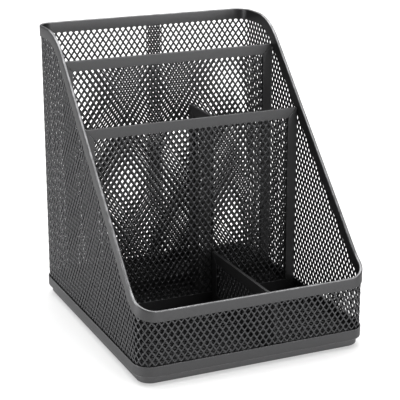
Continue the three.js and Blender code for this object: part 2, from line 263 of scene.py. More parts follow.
def finish_piece(piece, finish, body, node):
    """Gives a piece its finish, hides the node it stands for, and hangs it on what it moves with."""
    put_down()
    piece.data.materials.clear()
    piece.data.materials.append(FINISHES[finish])
    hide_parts(node)
    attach(piece, body)


def node_copy(node, name):
    """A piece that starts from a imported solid, with its doubles merged and its flats whole."""
    piece = bpy.data.objects.new(name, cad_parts[node].data.copy())
    bpy.context.scene.collection.objects.link(piece)
    piece.data.name = name
    open_mesh(piece)
    bpy.ops.mesh.remove_doubles(threshold=SAME_POINT)
    bpy.ops.mesh.customdata_custom_splitnormals_clear()
    bpy.ops.mesh.select_all(action="SELECT")
    bpy.ops.mesh.dissolve_limited(angle_limit=math.radians(FLAT_WITHIN), delimit=set())
    put_down()
    return piece


def round_foot(piece, radius):
    """Rounds the bend where a pressed piece's sides meet its underside."""
    low = min(corner[2] for corner in piece.bound_box)
    left, right = (side * max(corner[0] for corner in piece.bound_box) for side in (-1, 1))
    near, far = (side * max(corner[1] for corner in piece.bound_box) for side in (-1, 1))
    corner_reach = bpy.context.scene.organizer_shell.corner_radius
    open_mesh(piece)

    def on_outline(place):
        across = min(place.x - left, right - place.x)
        along = min(place.y - near, far - place.y)
        in_corner = across < corner_reach and along < corner_reach
        return min(across, along) < SAME_PLANE or in_corner

    pick(piece, "EDGE", lambda e: all(
        abs(v.co.z - low) < SAME_PLANE and on_outline(v.co) for v in e.verts))
    bpy.ops.mesh.bevel(offset=radius, segments=FOOT_SEGMENTS, affect="EDGES")
    put_down()


def rounded_copy(node, name, radius, body, finish, foot=0.0):
    """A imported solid's copy with rounded folds and cut edges, and with a rounded foot if asked."""
    edges = bpy.context.scene.organizer_edges
    piece = node_copy(node, name)
    if foot:
        round_foot(piece, foot)
    apply_modifier(
        piece, "BEVEL", width=radius, segments=edges.segments, limit_method="ANGLE",
        angle_limit=math.radians(ROUND_ABOVE), use_clamp_overlap=True,
        miter_outer="MITER_ARC",
    )
    mark_edges(piece)
    smooth(piece, SMOOTH_BELOW)
    apply_modifier(piece, "WEIGHTED_NORMAL", keep_sharp=True)
    finish_piece(piece, finish, body, node)


# --- shader node groups and finishes ---

CLOUD_SCALE = 16.0  # slow change over a coat, in waves per metre
WEAR_AND_HIGHLIGHT_SCALE = 160.0  # patches of wear and of painted highlight along a rounded edge
SPECK_SCALE = 900.0  # specks of dust, which also paint top light
GRAIN_SHARE = 0.45  # height of the grain beside the orange peel's
# pale grey of the dust, which also paints faces that look up lighter, as if lit from above
DUST_AND_TOP_LIGHT_COLOUR = (0.42, 0.41, 0.40, 1.0)
COAT_METALLIC = 0.97
WHITE = (1.0, 1.0, 1.0, 1.0)
GROUPS = {}
FINISHES = {}


def new_group(name, inputs, outputs):
    """A shader node group with named sockets, and its input and output nodes."""
    group = bpy.data.node_groups.new(name, "ShaderNodeTree")
    for label, kind, default in inputs:
        socket = group.interface.new_socket(name=label, in_out="INPUT", socket_type=kind)
        socket.default_value = default
    for label, kind in outputs:
        group.interface.new_socket(name=label, in_out="OUTPUT", socket_type=kind)
    return group, group.nodes.new("NodeGroupInput"), group.nodes.new("NodeGroupOutput")


def noise(tree, place, scale, detail, roughness=0.5):
    node = tree.nodes.new("ShaderNodeTexNoise")
    node.inputs["Detail"].default_value = detail
    node.inputs["Roughness"].default_value = roughness
    if isinstance(scale, (int, float)):
        node.inputs["Scale"].default_value = scale
    else:
        tree.links.new(scale, node.inputs["Scale"])
    tree.links.new(place, node.inputs["Vector"])
    return node.outputs["Fac"]


def maths(tree, operation, *values):
    node = tree.nodes.new("ShaderNodeMath")
    node.operation = operation
    for socket, value in zip(node.inputs, values):
        if isinstance(value, (int, float)):
            socket.default_value = value
        else:
            tree.links.new(value, socket)
    return node.outputs[0]


def remap(tree, value, low=0.0, high=1.0, to_low=0.0, to_high=1.0):
    node = tree.nodes.new("ShaderNodeMapRange")
    node.inputs["From Min"].default_value = low
    node.inputs["From Max"].default_value = high
    node.inputs["To Min"].default_value = to_low
    node.inputs["To Max"].default_value = to_high
    tree.links.new(value, node.inputs["Value"])
    return node.outputs["Result"]


def build_coat_grain():
    """Powder coat: fine grain, orange peel and a slow change over the surface."""
    group, given, out = new_group(
        "Powder coat grain",
        [("Grain scale", "NodeSocketFloat", 2600.0), ("Peel scale", "NodeSocketFloat", 700.0)],
        [(label, "NodeSocketFloat") for label in ("Height", "Speckle", "Cloud")],
    )
    place = group.nodes.new("ShaderNodeTexCoord").outputs["Object"]
    grain = noise(group, place, given.outputs["Grain scale"], detail=2.0, roughness=0.6)
    peel = noise(group, place, given.outputs["Peel scale"], detail=1.0, roughness=0.4)
    cloud = noise(group, place, CLOUD_SCALE, detail=3.0)
    height = maths(group, "ADD", maths(group, "MULTIPLY", grain, GRAIN_SHARE), peel)
    group.links.new(height, out.inputs["Height"])
    group.links.new(remap(group, grain, low=0.35, high=0.7), out.inputs["Speckle"])
    group.links.new(remap(group, cloud, low=0.3, high=0.7), out.inputs["Cloud"])
    return group


def build_edge_wear():
    """Lighter rounded edges: partly where handling has rubbed them, partly a painted highlight along
    edges that catch the light; the piece's own edge marks, broken up.
    """
    group, given, out = new_group(
        "Edge wear",
        [("Amount", "NodeSocketFloat", 0.5)],
        [("Mask", "NodeSocketFloat")],
    )
    edge = group.nodes.new("ShaderNodeAttribute")
    edge.attribute_name = "edge"
    place = group.nodes.new("ShaderNodeTexCoord").outputs["Object"]
    edge_breakup = noise(group, place, WEAR_AND_HIGHLIGHT_SCALE, detail=4.0, roughness=0.65)
    patches = remap(group, edge_breakup, low=0.35, high=0.7, to_low=0.25)
    mask = maths(group, "MULTIPLY", edge.outputs["Fac"], patches)
    mask = maths(group, "MULTIPLY", mask, given.outputs["Amount"])
    group.links.new(mask, out.inputs["Mask"])
    return group


def build_dust():
    """A little dust in specks on faces that look up, partly dust, partly painted top light that
    makes those faces lighter.
    """
    group, given, out = new_group(
        "Dust",
        [("Amount", "NodeSocketFloat", 0.1)],
        [("Mask", "NodeSocketFloat")],
    )
    geometry = group.nodes.new("ShaderNodeNewGeometry")
    split = group.nodes.new("ShaderNodeSeparateXYZ")
    group.links.new(geometry.outputs["Normal"], split.inputs[0])
    upward = remap(group, split.outputs["Z"], low=0.35)
    place = group.nodes.new("ShaderNodeTexCoord").outputs["Object"]
    speck_noise = noise(group, place, SPECK_SCALE, detail=5.0, roughness=0.7)
    specks = remap(group, speck_noise, low=0.42, high=0.68)
    mask = maths(group, "MULTIPLY", upward, specks)
    group.links.new(maths(group, "MULTIPLY", mask, given.outputs["Amount"]), out.inputs["Mask"])
    return group


def place_group(tree, group, **values):
    node = tree.nodes.new("ShaderNodeGroup")
    node.node_tree = group
    for label, value in values.items():
        node.inputs[label.replace("_", " ")].default_value = value
    return node


def mix_colours(tree, mask, first, second):
    node = tree.nodes.new("ShaderNodeMix")
    node.data_type = "RGBA"
    tree.links.new(mask, node.inputs["Factor"])
    for socket, value in ((node.inputs["A"], first), (node.inputs["B"], second)):
        if isinstance(value, tuple):
            socket.default_value = value
        else:
            tree.links.new(value, socket)
    return node.outputs["Result"]


def shade(base, factor):
    return tuple(min(1.0, channel * factor) for channel in base) + (1.0,)


def new_finish(name):
    material = bpy.data.materials.new(name)
    material.use_nodes = True
    tree = material.node_tree
    return material, tree, tree.nodes["Principled BSDF"]


def bump(tree, shader, height, distance, strength):
    node = tree.nodes.new("ShaderNodeBump")
    node.inputs["Strength"].default_value = strength
    node.inputs["Distance"].default_value = distance
    tree.links.new(height, node.inputs["Height"])
    tree.links.new(node.outputs["Normal"], shader.inputs["Normal"])


def coated_steel(name, base, roughness, grain, peel, wear, dust, depth):
    """Satin black powder coat with a metallic sheen, on steel."""
    material, tree, shader = new_finish(name)
    coat = place_group(tree, GROUPS["grain"], Grain_scale=grain, Peel_scale=peel)
    rubbed_and_highlit = place_group(tree, GROUPS["wear"], Amount=wear)
    dusty = place_group(tree, GROUPS["dust"], Amount=dust)
    darkest, lightest, speckle, wear_and_highlight_tone = (
        shade(base, factor) for factor in (0.97, 1.03, 1.35, 2.4)
    )
    speckled = maths(tree, "MULTIPLY", coat.outputs["Speckle"], 0.3)
    tone = mix_colours(tree, coat.outputs["Cloud"], darkest, lightest)
    tone = mix_colours(tree, speckled, tone, speckle)
    # painted highlight on the rounded edges, 2.4 times the base, partly standing for wear
    tone = mix_colours(tree, rubbed_and_highlit.outputs["Mask"], tone, wear_and_highlight_tone)
    # faces that look up turn paler: partly dust, partly painted top light
    tone = mix_colours(tree, dusty.outputs["Mask"], tone, DUST_AND_TOP_LIGHT_COLOUR)
    tree.links.new(tone, shader.inputs["Base Color"])
    gloss = remap(tree, coat.outputs["Cloud"], to_low=roughness - 0.01, to_high=roughness + 0.02)
    polished = maths(tree, "MULTIPLY", rubbed_and_highlit.outputs["Mask"], 0.1)
    tree.links.new(maths(tree, "SUBTRACT", gloss, polished), shader.inputs["Roughness"])
    shader.inputs["Metallic"].default_value = COAT_METALLIC
    bump(tree, shader, coat.outputs["Height"], distance=depth, strength=0.5)
    return material


def plated_steel(name, base, roughness, streak):
    """Zinc plate or polished steel, with a fine grain."""
    material, tree, shader = new_finish(name)
    coat = place_group(tree, GROUPS["grain"], Grain_scale=streak, Peel_scale=450.0)
    tone = mix_colours(tree, coat.outputs["Cloud"], shade(base, 0.85), shade(base, 1.08))
    tree.links.new(tone, shader.inputs["Base Color"])
    gloss = remap(tree, coat.outputs["Speckle"], to_low=roughness, to_high=roughness + 0.12)
    tree.links.new(gloss, shader.inputs["Roughness"])
    shader.inputs["Metallic"].default_value = 1.0
    bump(tree, shader, coat.outputs["Height"], distance=0.00001, strength=0.3)
    return material


def moulded(name, base, roughness, depth):
    """Moulded nylon or rubber."""
    material, tree, shader = new_finish(name)
    coat = place_group(tree, GROUPS["grain"], Grain_scale=1800.0, Peel_scale=500.0)
    tone = mix_colours(tree, coat.outputs["Cloud"], shade(base, 0.9), shade(base, 1.1))
    tree.links.new(tone, shader.inputs["Base Color"])
    gloss = remap(tree, coat.outputs["Speckle"], to_low=roughness, to_high=roughness + 0.08)
    tree.links.new(gloss, shader.inputs["Roughness"])
    bump(tree, shader, coat.outputs["Height"], distance=depth, strength=0.4)
    return material


def build_finishes():
    """Builds the shader groups, then a material for each finish."""
    colours = bpy.context.scene.organizer_colours
    GROUPS.update(grain=build_coat_grain(), wear=build_edge_wear(), dust=build_dust())
    # wear amounts: how far rounded edges are lightened, partly wear, partly painted highlight; dust
    # amounts also paint faces that look up lighter
    FINISHES.update(
        strip=coated_steel("Strip powder coat", colours.strip, roughness=0.45,
                           grain=2600.0, peel=700.0, wear=0.7, dust=0.03, depth=0.00003),
        mesh=coated_steel("Mesh powder coat", colours.mesh, roughness=0.38,
                          grain=3200.0, peel=900.0, wear=0.0, dust=0.02, depth=0.00002),
        # the tray's coat is painted lighter against the shade under the pan
        tray=coated_steel("Tray powder coat", colours.tray, roughness=0.45,
                          grain=2400.0, peel=650.0, wear=0.4, dust=0.02, depth=0.00003),
        zinc=plated_steel("Zinc plate", colours.zinc, roughness=0.28, streak=2200.0),
        ball=plated_steel("Bearing steel", colours.ball, roughness=0.08, streak=3000.0),
        nylon=moulded("Cage nylon", colours.nylon, roughness=0.45, depth=0.00002),
        rubber=moulded("Foot rubber", colours.rubber, roughness=0.75, depth=0.00005),
    )


# --- the wall's plan and its top edge ---

SPARE = 0.004  # how far the path runs on past the sheet's ends
LAP_EASE = 0.006  # length over which the lapped sheet steps off the middle line
CORNER_CLEAR = 0.001  # least distance from a corner of the plan to the next point on the side
BACK_CORNER_STEPS = 14
TOP_BEND_STEPS = 18
FOOT_BEND_STEPS = 8
FRONT_CORNER_STEPS = 16
FRONT_STEPS = 4


def half_sizes():
    """Half the width, half the depth, and the height."""
    low, high = CAD_BOX
    return (high.x - low.x) / 2, (high.y - low.y) / 2, high.z


def slope():
    """Where the slope begins and ends along the side, and its angle."""
    shell = bpy.context.scene.organizer_shell
    _, half_depth, height = half_sizes()
    start = -(half_depth - shell.top_setback)
    end = half_depth - shell.foot_setback
    return start, end, math.atan2(height - shell.front_height, end - start)


def edge_bends(drop):
    """Where the bends of a line a distance inside the top edge begin and end."""
    shell = bpy.context.scene.organizer_shell
    start, end, angle = slope()
    half_tangent = math.tan(angle / 2)
    top_radius = shell.bend_radius - drop
    foot_radius = shell.bend_radius + drop
    top_meet = start - drop * half_tangent
    foot_meet = end - drop * half_tangent
    return {
        "top_radius": top_radius,
        "foot_radius": foot_radius,
        "top_meet": top_meet,
        "top_from": top_meet - top_radius * half_tangent,
        "top_to": top_meet + top_radius * half_tangent * math.cos(angle),
        "foot_from": foot_meet - foot_radius * half_tangent * math.cos(angle),
        "foot_to": foot_meet + foot_radius * half_tangent,
    }


def edge_height(along, drop):
    """Height of that line at a place along the unrolled wall."""
    shell = bpy.context.scene.organizer_shell
    height = half_sizes()[2]
    bends = edge_bends(drop)
    if along <= bends["top_from"]:
        return height - drop
    if along < bends["top_to"]:
        reach = along - bends["top_from"]
        return height - shell.bend_radius + math.sqrt(bends["top_radius"] ** 2 - reach**2)
    if along < bends["foot_from"]:
        return height - drop - (along - bends["top_meet"]) * math.tan(slope()[2])
    if along < bends["foot_to"]:
        reach = bends["foot_to"] - along
        rise = shell.bend_radius - math.sqrt(bends["foot_radius"] ** 2 - reach**2)
        return shell.front_height + rise
    return shell.front_height - drop


def spread(low, high, count):
    return [low + (high - low) * i / count for i in range(count + 1)]


def half_plan(side, inset):
    """Points of half the plan, from the middle of the back to the middle of the front,
    each with its place along the unrolled wall."""
    shell = bpy.context.scene.organizer_shell
    half_width, half_depth, _ = half_sizes()
    radius = shell.corner_radius
    straight = half_depth - radius
    bends = edge_bends(0.0)
    places = []
    for turn in reversed(spread(0.0, math.pi / 2, BACK_CORNER_STEPS)):
        reach = radius - inset
        places.append((
            half_width - radius + reach * math.cos(turn),
            straight + reach * math.sin(turn),
            -straight - radius * turn,
        ))
    breaks = spread(bends["top_from"], bends["top_to"], TOP_BEND_STEPS)
    breaks += spread(bends["foot_from"], straight, FOOT_BEND_STEPS)[:-1]
    places += [(half_width - inset, -s, s) for s in breaks if abs(s) < straight - CORNER_CLEAR]
    for turn in spread(0.0, math.pi / 2, FRONT_CORNER_STEPS):
        reach = radius - inset
        places.append((
            half_width - radius + reach * math.cos(turn),
            -straight - reach * math.sin(turn),
            straight + radius * turn,
        ))
    last = places[-1]
    for extra in spread(0.0, bends["foot_to"] - last[2], FRONT_STEPS)[1:]:
        places.append((last[0] - extra, last[1], last[2] + extra))
    return [(side * x, y, s) for x, y, s in places]


def plan_lengths(inset):
    """Lengths along the unrolled wall: half the front's flat, a corner, and a side's flat."""
    shell = bpy.context.scene.organizer_shell
    half_width, half_depth, _ = half_sizes()
    radius = shell.corner_radius
    return half_width - radius, (radius - inset) * math.pi / 2, 2 * (half_depth - radius)


def along_edge(reach, inset):
    """Place on the edge's outline of a point of the unrolled wall that far from mid-front."""
    shell = bpy.context.scene.organizer_shell
    straight = half_sizes()[1] - shell.corner_radius
    front, bend, _ = plan_lengths(inset)
    corner = shell.corner_radius * math.pi / 2
    if reach < front:
        return straight + corner + front - reach
    if reach < front + bend:
        return straight + corner * (front + bend - reach) / bend
    return straight - (reach - front - bend)


def reach_of(along, inset):
    """The other way round: how far from mid-front a place on the edge's outline is."""
    shell = bpy.context.scene.organizer_shell
    straight = half_sizes()[1] - shell.corner_radius
    front, bend, side = plan_lengths(inset)
    corner = shell.corner_radius * math.pi / 2
    if along > straight + corner:
        return front - (along - straight - corner)
    if along > straight:
        return front + bend * (straight + corner - along) / corner
    if along > -straight:
        return front + bend + straight - along
    return front + bend + side + bend * (-straight - along) / corner


def plan_path(inset, lap_left, lap_right, step):
    """The wall's middle line: out from the lap at the back, round the plan, in under the lap."""
    back = half_sizes()[1] - inset
    left = [(x, y, 0.0) for x, y, _ in half_plan(-1, inset)]
    right = [(x, y, 0.0) for x, y, _ in reversed(half_plan(1, inset))]
    start = [(lap_right + SPARE, back + step, 0.0), (lap_left, back + step, 0.0)]
    end = [(lap_right, back - step, 0.0), (lap_left - SPARE, back - step, 0.0)]
    if step:
        start.append((lap_left - LAP_EASE, back, 0.0))
        end.insert(0, (lap_right + LAP_EASE, back, 0.0))
    return poly_curve("plan_path", start + left + right + end, False)


def wrap(piece, left_reach, path):
    """Bends a standing piece round the plan. Its X is the length from mid-front."""
    shift(piece, (left_reach + SPARE, 0.0, 0.0))
    apply_modifier(piece, "CURVE", object=path, deform_axis="POS_X")
    bpy.data.objects.remove(path)


def poly_curve(name, points, closed):
    data = bpy.data.curves.new(name, "CURVE")
    data.dimensions = "3D"
    data.twist_mode = "Z_UP"
    line = data.splines.new("POLY")
    line.points.add(len(points) - 1)
    for knot, place in zip(line.points, points):
        knot.co = (*place, 1.0)
    line.use_cyclic_u = closed
    curve = bpy.data.objects.new(name, data)
    bpy.context.scene.collection.objects.link(curve)
    return curve


# --- expanded metal ---

CUT_POINT = 1e-7  # points that a cut leaves closer together than this are one
FLOOR_SHIFT = 0.06  # in cells: keeps the floor's cuts off the corners of its diamonds
FLOOR_CUTS = (22.5, 45.0, 67.5)  # degrees: the cuts that round the floor's corners
DIVIDERS = (  # name, shift of its lattice in cells, and its upright bars
    ("rear", 0.5, ("left", "right")),
    ("middle", 0.0, ("left", "right")),
    ("cross", 0.0, ("front", "back")),
    ("front", 0.0, ("front", "back")),
)


def lattice(name, width, height):
    """A flat sheet of diamonds about the origin, their short way along X, long way along Y."""
    mesh = bpy.context.scene.organizer_mesh
    across = 2 * math.ceil(width / mesh.cell_width / 2)
    up = 2 * math.ceil(height / mesh.cell_height / 2)
    put_down()
    bpy.ops.mesh.primitive_grid_add(x_subdivisions=across, y_subdivisions=up, size=1.0)
    sheet = bpy.context.view_layer.objects.active
    sheet.name = sheet.data.name = name
    open_mesh(sheet)
    bpy.ops.transform.resize(value=(across * mesh.cell_width, up * mesh.cell_height, 1.0))
    bpy.ops.mesh.mark_seam()
    bpy.ops.mesh.poke()
    pick(sheet, "EDGE", lambda e: e.seam and not e.is_boundary)
    bpy.ops.mesh.dissolve_edges(use_verts=False)
    bpy.ops.mesh.select_mode(type="EDGE")
    bpy.ops.mesh.select_all(action="SELECT")
    bpy.ops.mesh.mark_seam(clear=True)
    pick(sheet, "FACE", lambda f: len(f.verts) != 4)
    bpy.ops.mesh.delete(type="FACE")
    return sheet


def keep_cells(sheet, inside):
    """Deletes the diamonds that have a corner outside."""
    pick(sheet, "FACE", lambda f: not all(inside(v.co) for v in f.verts))
    bpy.ops.mesh.delete(type="FACE")
    pick(sheet, "VERT", lambda v: not v.link_faces)
    bpy.ops.mesh.delete(type="VERT")


def open_cells(sheet):
    """Opens each diamond, leaves strands between them, and tilts and thickens the strands."""
    mesh = bpy.context.scene.organizer_mesh
    bpy.ops.mesh.select_mode(type="FACE")
    bpy.ops.mesh.select_all(action="SELECT")
    bpy.ops.mesh.inset(thickness=mesh.strand / 2, use_individual=True, use_even_offset=True)
    ends = {"left": set(), "right": set(), "low": set(), "high": set()}
    for face in parts_of(sheet, "FACE"):
        if face.select:
            by_x = sorted(face.verts, key=lambda v: v.co.x)
            by_y = sorted(face.verts, key=lambda v: v.co.y)
            ends["left"].add(by_x[0].index)
            ends["right"].add(by_x[-1].index)
            ends["low"].add(by_y[0].index)
            ends["high"].add(by_y[-1].index)
    bpy.ops.mesh.delete(type="ONLY_FACE")
    moves = {
        "left": (0.0, 0.0, -mesh.lift),
        "right": (0.0, 0.0, mesh.lift),
        "low": (0.0, mesh.knot, 0.0),
        "high": (0.0, -mesh.knot, 0.0),
    }
    for end, move in moves.items():
        chosen = ends[end]
        pick(sheet, "VERT", lambda v: v.index in chosen)
        bpy.ops.transform.translate(value=move)
    apply_modifier(sheet, "SOLIDIFY", thickness=mesh.sheet, offset=0.0, use_even_offset=True)


def cut_square(sheet, planes):
    """Cuts the sheet along planes, each a point and the way out, and closes the cut strands."""
    open_mesh(sheet)
    for place, outward in planes:
        bpy.ops.mesh.select_all(action="SELECT")
        bpy.ops.mesh.bisect(plane_co=place, plane_no=outward, use_fill=True, clear_outer=True)
    bpy.ops.mesh.select_all(action="SELECT")
    bpy.ops.mesh.remove_doubles(threshold=CUT_POINT)
    put_down()


class ORGANIZER_OT_wall_mesh(bpy.types.Operator):
    """Cut the wall from expanded metal, wrap it round the plan and lap it at the back"""

    bl_idname = "organizer.wall_mesh"
    bl_label = "Wall Mesh"

    def execute(self, context):
        shell = context.scene.organizer_shell
        mesh = context.scene.organizer_mesh
        height = half_sizes()[2]
        low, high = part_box("wall_mesh")
        inset = shell.strip_thickness / 2
        front, bend, side = plan_lengths(inset)
        lap_left = shell.seam_place
        lap_right = lap_left + shell.seam_overlap
        left_reach = 2 * front + 2 * bend + side + lap_right
        right_reach = 2 * front + 2 * bend + side - lap_left
        rows = math.ceil((height - low.z) / mesh.cell_height / 2)
        rise = low.z + rows * mesh.cell_height

        def inside(place):
            z = place.y + rise
            if z < low.z - SAME_POINT or not -left_reach <= place.x <= right_reach:
                return False
            return z <= edge_height(along_edge(abs(place.x), inset), height - high.z)

        wall = lattice("wall_expanded_mesh", 2 * left_reach + 2 * SPARE, 2 * (rise - low.z))
        keep_cells(wall, inside)
        open_cells(wall)
        path = plan_path(inset, lap_left, lap_right, shell.seam_step)
        open_mesh(wall)
        quarter_turn("X")
        bpy.ops.transform.translate(value=(0.0, 0.0, rise))
        wrap(wall, left_reach, path)
        smooth(wall, SMOOTH_ALL)
        finish_piece(wall, "mesh", "organizer", "wall_mesh")
        return {"FINISHED"}


class ORGANIZER_OT_floor_mesh(bpy.types.Operator):
    """Lay the floor's sheet of expanded metal in the pan"""

    bl_idname = "organizer.floor_mesh"
    bl_label = "Floor Mesh"

    def execute(self, context):
        shell = context.scene.organizer_shell
        cell = context.scene.organizer_mesh.cell_width
        low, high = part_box("floor_mesh")
        sheet = lattice("floor_expanded_mesh", high.x - low.x + cell, high.y - low.y)
        bpy.ops.mesh.select_all(action="SELECT")
        bpy.ops.transform.translate(value=(FLOOR_SHIFT * cell, 0.0, 0.0))
        open_cells(sheet)
        radius = shell.corner_radius - (CAD_BOX[1].x - high.x)
        planes = [((low.x, 0, 0), (-1, 0, 0)), ((high.x, 0, 0), (1, 0, 0)),
                  ((0, low.y, 0), (0, -1, 0)), ((0, high.y, 0), (0, 1, 0))]
        for side in (-1, 1):
            for end in (-1, 1):
                centre = Vector((side * (high.x - radius), end * (high.y - radius), 0))
                for turn in map(math.radians, FLOOR_CUTS):
                    way = Vector((side * math.cos(turn), end * math.sin(turn), 0))
                    planes.append((centre + way * radius, way))
        cut_square(sheet, planes)
        shift(sheet, (0.0, 0.0, (low.z + high.z) / 2))
        smooth(sheet, SMOOTH_ALL)
        finish_piece(sheet, "mesh", "organizer", "floor_mesh")
        return {"FINISHED"}


class ORGANIZER_OT_divider_meshes(bpy.types.Operator):
    """Cut the four dividers' panels from expanded metal"""

    bl_idname = "organizer.divider_meshes"
    bl_label = "Divider Meshes"

    def execute(self, context):
        mesh = context.scene.organizer_mesh
        for divider, phase, _ in DIVIDERS:
            node = divider + "_divider_mesh"
            low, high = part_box(node)
            middle = (low + high) / 2
            lengthwise = high.y - low.y > high.x - low.x
            length = high.y - low.y if lengthwise else high.x - low.x
            height = high.z - low.z
            panel = lattice(divider + "_expanded_mesh", length + mesh.cell_width, height)
            bpy.ops.mesh.select_all(action="SELECT")
            bpy.ops.transform.translate(value=(phase * mesh.cell_width, 0.0, 0.0))
            open_cells(panel)
            cut_square(panel, [
                ((-length / 2, 0, 0), (-1, 0, 0)), ((length / 2, 0, 0), (1, 0, 0)),
                ((0, -height / 2, 0), (0, -1, 0)), ((0, height / 2, 0), (0, 1, 0)),
            ])
            open_mesh(panel)
            quarter_turn("X")
            if lengthwise:
                quarter_turn("Z")
            shift(panel, middle)
            smooth(panel, SMOOTH_ALL)
            finish_piece(panel, "mesh", "organizer", node)
        return {"FINISHED"}


# --- folded and pressed steel ---

RIM_ENDS = 5e-5  # the rim's two ends stop closer together than this, and are joined
RIM_SMOOTH = 32.0  # degrees: bends of the rim less than this are shaded smooth
FOLD_STEPS = 5
FOLD_FACING = 0.3  # how far up or down a face of the rim's fold looks, at least
HEM = 0.00012  # bevel along the cut edges of the strip
RIVETS = 4
BALLS = 12
BALL_LEVELS = 3
BALL_SMOOTH = 60.0


class ORGANIZER_OT_top_rim(bpy.types.Operator):
    """Fold the strip over the whole top edge"""

    bl_idname = "organizer.top_rim"
    bl_label = "Top Rim"

    def execute(self, context):
        shell = context.scene.organizer_shell
        inset = shell.strip_thickness / 2
        seam = shell.seam_place
        front, bend, side = plan_lengths(inset)
        left_reach = 2 * front + 2 * bend + side + seam
        edge = [(reach_of(s, inset), edge_height(s, 0.0)) for _, _, s in half_plan(1, inset)]
        outline = [(-left_reach, edge[0][1])] + [(-reach, z) for reach, z in edge]
        outline += [(reach, z) for reach, z in reversed(edge)]
        outline.append((left_reach - 2 * seam, edge[0][1]))
        run = poly_curve("rim_run", [(x, 0.0, z) for x, z in outline], False)
        section = poly_curve("rim_section", self.section(shell), True)
        section.data.dimensions = "2D"
        run.data.bevel_mode = "OBJECT"
        run.data.bevel_object = section
        take_up(run)
        bpy.ops.object.convert(target="MESH")
        rim = bpy.context.view_layer.objects.active
        rim.name = rim.data.name = "rim_strip"
        bpy.data.objects.remove(section)
        wrap(rim, left_reach, plan_path(inset, seam, seam, 0.0))
        open_mesh(rim)
        bpy.ops.mesh.remove_doubles(threshold=RIM_ENDS)
        bpy.ops.mesh.normals_make_consistent(inside=False)
        put_down()
        self.mark_fold(rim)
        smooth(rim, RIM_SMOOTH)
        finish_piece(rim, "strip", "organizer", "top_rim")
        return {"FINISHED"}

    def section(self, shell):
        """The folded strip's section: two legs and a round fold, its top at the origin."""
        half = shell.strip_thickness / 2
        sheet = shell.strip_sheet
        depth = shell.strip_depth
        fold = shell.fold_radius
        points = []
        for side in (1, -1):
            leg = [
                (side * (half - sheet), -sheet),
                (side * (half - sheet), -depth + HEM),
                (side * (half - sheet + HEM), -depth),
                (side * (half - HEM), -depth),
                (side * half, -depth + HEM),
            ]
            bend = [
                (side * (half - fold + fold * math.cos(turn)), -fold + fold * math.sin(turn))
                for turn in spread(0.0, math.pi / 2, FOLD_STEPS)
            ]
            run = leg + bend
            points += run if side == 1 else run[::-1]
        return [(x, y, 0.0) for x, y in points]

    def mark_fold(self, rim):
        """Marks the faces of the fold, which handling rubs first and which get the painted highlight
        along the rim's top.
        """
        work = bmesh.new()
        work.from_mesh(rim.data)
        layer = work.loops.layers.float.new("edge")
        for face in work.faces:
            for corner in face.loops:
                corner[layer] = 1.0 if abs(face.normal.z) > FOLD_FACING else 0.0
        work.to_mesh(rim.data)
        work.free()


class ORGANIZER_OT_divider_bars(bpy.types.Operator):
    """Fold the bars round the four dividers"""

    bl_idname = "organizer.divider_bars"
    bl_label = "Divider Bars"

    def execute(self, context):
        edges = context.scene.organizer_edges
        for divider, _, uprights in DIVIDERS:
            for place in ("bottom", "top", *uprights):
                rounded_copy(f"{divider}_divider_{place}_bar", f"{divider}_{place}_strip",
                             edges.bar, "organizer", "strip")
        return {"FINISHED"}


class ORGANIZER_OT_pan(bpy.types.Operator):
    """Press the pan that the wall stands in"""

    bl_idname = "organizer.pan"
    bl_label = "Pan"

    def execute(self, context):
        edges = context.scene.organizer_edges
        rounded_copy("pan", "pressed_pan", edges.pan, "organizer", "strip", foot=edges.pressed)
        return {"FINISHED"}


class ORGANIZER_OT_base_tray(bpy.types.Operator):
    """Press the tray that stands still and set its feet"""

    bl_idname = "organizer.base_tray"
    bl_label = "Base Tray and Feet"

    def execute(self, context):
        edges = context.scene.organizer_edges
        rounded_copy("base_tray", "pressed_tray", edges.tray, "base", "tray",
                     foot=edges.pressed)
        for end in ("front", "back"):
            for side in ("left", "right"):
                rounded_copy(f"foot_{end}_{side}", f"pad_{end}_{side}", edges.foot, "base",
                             "rubber")
        return {"FINISHED"}


class ORGANIZER_OT_races(bpy.types.Operator):
    """Press the bearing's two races and mould the ball cage"""

    bl_idname = "organizer.races"
    bl_label = "Bearing Races and Cage"

    def execute(self, context):
        edges = context.scene.organizer_edges
        rounded_copy("lower_race", "fixed_race", edges.race, "base", "zinc")
        rounded_copy("upper_race", "turning_race", edges.race, "organizer", "zinc")
        rounded_copy("ball_cage", "ball_retainer", edges.cage, "ball_ring", "nylon")
        return {"FINISHED"}


class ORGANIZER_OT_rivets(bpy.types.Operator):
    """Set the rivets of both races"""

    bl_idname = "organizer.rivets"
    bl_label = "Rivets"

    def execute(self, context):
        edges = context.scene.organizer_edges
        for race, body, finish in (("lower", "base", "zinc"), ("upper", "organizer", "strip")):
            for place in range(1, RIVETS + 1):
                rounded_copy(f"{race}_race_rivet_{place}", f"{race}_rivet_{place}",
                             edges.rivet, body, finish)
        return {"FINISHED"}


